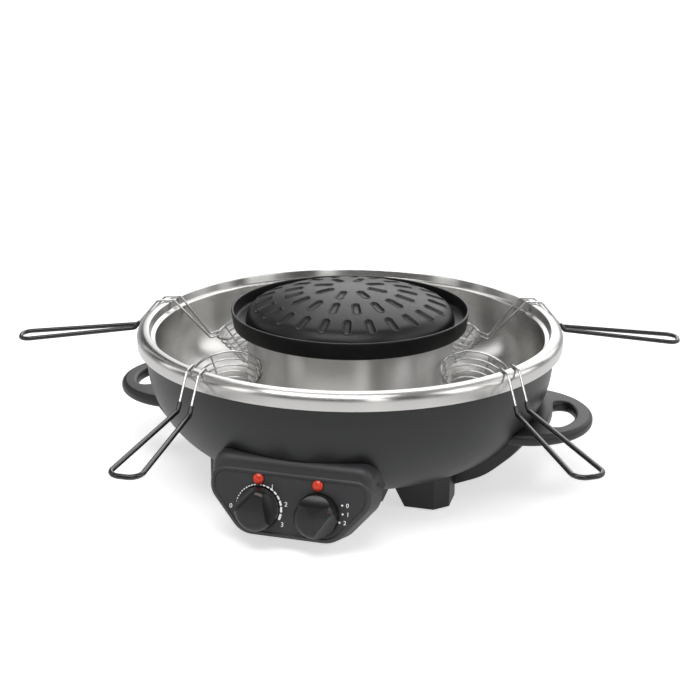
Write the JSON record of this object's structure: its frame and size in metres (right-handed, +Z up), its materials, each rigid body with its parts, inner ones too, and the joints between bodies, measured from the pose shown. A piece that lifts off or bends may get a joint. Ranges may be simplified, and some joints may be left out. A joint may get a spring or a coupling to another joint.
{
  "type": "electric hot pot and grill cooker",
  "caption": "Round electric table cooker: a steel hot pot trough around a domed grill plate, with wire food baskets hooked on the rim, two ear handles and a two-knob control panel.",
  "frame": {"origin": "on the pot's axis at table level, in the plane of the feet pads", "axes": "+Z up along the pot's axis, -Y towards the control panel, +X and -X towards the ear handles"},
  "size_m": [0.6347, 0.5317, 0.1785],
  "materials": {
    "bowl_paint": "satin",
    "stainless": "satin",
    "grill_coating": "satin non-stick coating",
    "black_plastic": "satin",
    "panel_plastic": "satin",
    "knob_plastic": "satin",
    "basket_wire": "polished",
    "grip_coating": "dipped coating",
    "pad_rubber": "matte",
    "red_lens": "clear red",
    "red_mark": "printed",
    "heater_steel": "heat-tinted",
    "plated_sheet": "aluminised steel sheet",
    "screw_steel": "plated",
    "brass": "satin",
    "ceramic": "matte",
    "glass": "clear"
  },
  "bodies": {
    "base": {"outer_bowl": "bowl_paint", "bottom_plate": "bowl_paint", "bottom_plate_screws": "screw_steel", "foot_front_left": "black_plastic", "foot_front_right": "black_plastic", "foot_back_left": "black_plastic", "foot_back_right": "black_plastic", "foot_pads": "pad_rubber", "foot_screws": "screw_steel", "ear_handle_left": "black_plastic", "ear_handle_right": "black_plastic", "ear_screws": "screw_steel", "control_housing": "black_plastic", "control_fascia": "panel_plastic", "thermostat": "plated_sheet", "selector_switch": "black_plastic", "lamp_lens_left": "red_lens", "lamp_lens_right": "red_lens", "lamp_bulbs": "glass", "power_inlet": "black_plastic", "inlet_pins": "brass", "hotpot_element": "heater_steel", "hotpot_reflector": "plated_sheet", "element_brackets": "screw_steel", "grill_element": "heater_steel", "grill_element_stand": "screw_steel", "grill_reflector": "plated_sheet", "terminal_block": "ceramic", "thermal_cutout": "plated_sheet"},
    "pot": {"inner_pot": "stainless", "centre_column": "stainless"},
    "grill": {"grill_plate": "grill_coating"},
    "knob_left": {"knob_left": "knob_plastic", "knob_left_shaft": "screw_steel", "knob_left_pointer": "red_mark"},
    "knob_right": {"knob_right": "knob_plastic", "knob_right_shaft": "screw_steel", "knob_right_pointer": "red_mark"},
    "basket_front_left": {"basket_front_left_cage": "basket_wire", "basket_front_left_handle": "basket_wire", "basket_front_left_grip": "grip_coating"},
    "basket_front_right": {"basket_front_right_cage": "basket_wire", "basket_front_right_handle": "basket_wire", "basket_front_right_grip": "grip_coating"},
    "basket_back_left": {"basket_back_left_cage": "basket_wire", "basket_back_left_handle": "basket_wire", "basket_back_left_grip": "grip_coating"},
    "basket_back_right": {"basket_back_right_cage": "basket_wire", "basket_back_right_handle": "basket_wire", "basket_back_right_grip": "grip_coating"}
  },
  "joints": [
    {"name": "pot_lift", "type": "slide", "parent": "base", "child": "pot", "axis": [0, 0, 1], "range_m": [0, 0.12]},
    {"name": "grill_lift", "type": "slide", "parent": "pot", "child": "grill", "axis": [0, 0, 1], "range_m": [0, 0.1]},
    {"name": "basket_front_left_lift", "type": "slide", "parent": "pot", "child": "basket_front_left", "axis": [-0.3598, -0.385, 0.8499], "range_m": [0, 0.1]},
    {"name": "basket_front_right_lift", "type": "slide", "parent": "pot", "child": "basket_front_right", "axis": [0.511, -0.1287, 0.8499], "range_m": [0, 0.1]},
    {"name": "basket_back_left_lift", "type": "slide", "parent": "pot", "child": "basket_back_left", "axis": [-0.4891, 0.1962, 0.8499], "range_m": [0, 0.1]},
    {"name": "basket_back_right_lift", "type": "slide", "parent": "pot", "child": "basket_back_right", "axis": [0.3182, 0.42, 0.8499], "range_m": [0, 0.1]},
    {"name": "knob_left_turn", "type": "hinge", "parent": "base", "child": "knob_left", "pos_m": [-0.026, -0.19542, 0.03504], "axis": [0, -0.9781, 0.2079], "range_deg": [-100, 130]},
    {"name": "knob_right_turn", "type": "hinge", "parent": "base", "child": "knob_right", "pos_m": [0.026, -0.19542, 0.03504], "axis": [0, -0.9781, 0.2079], "range_deg": [-41, 0]}
  ]
}
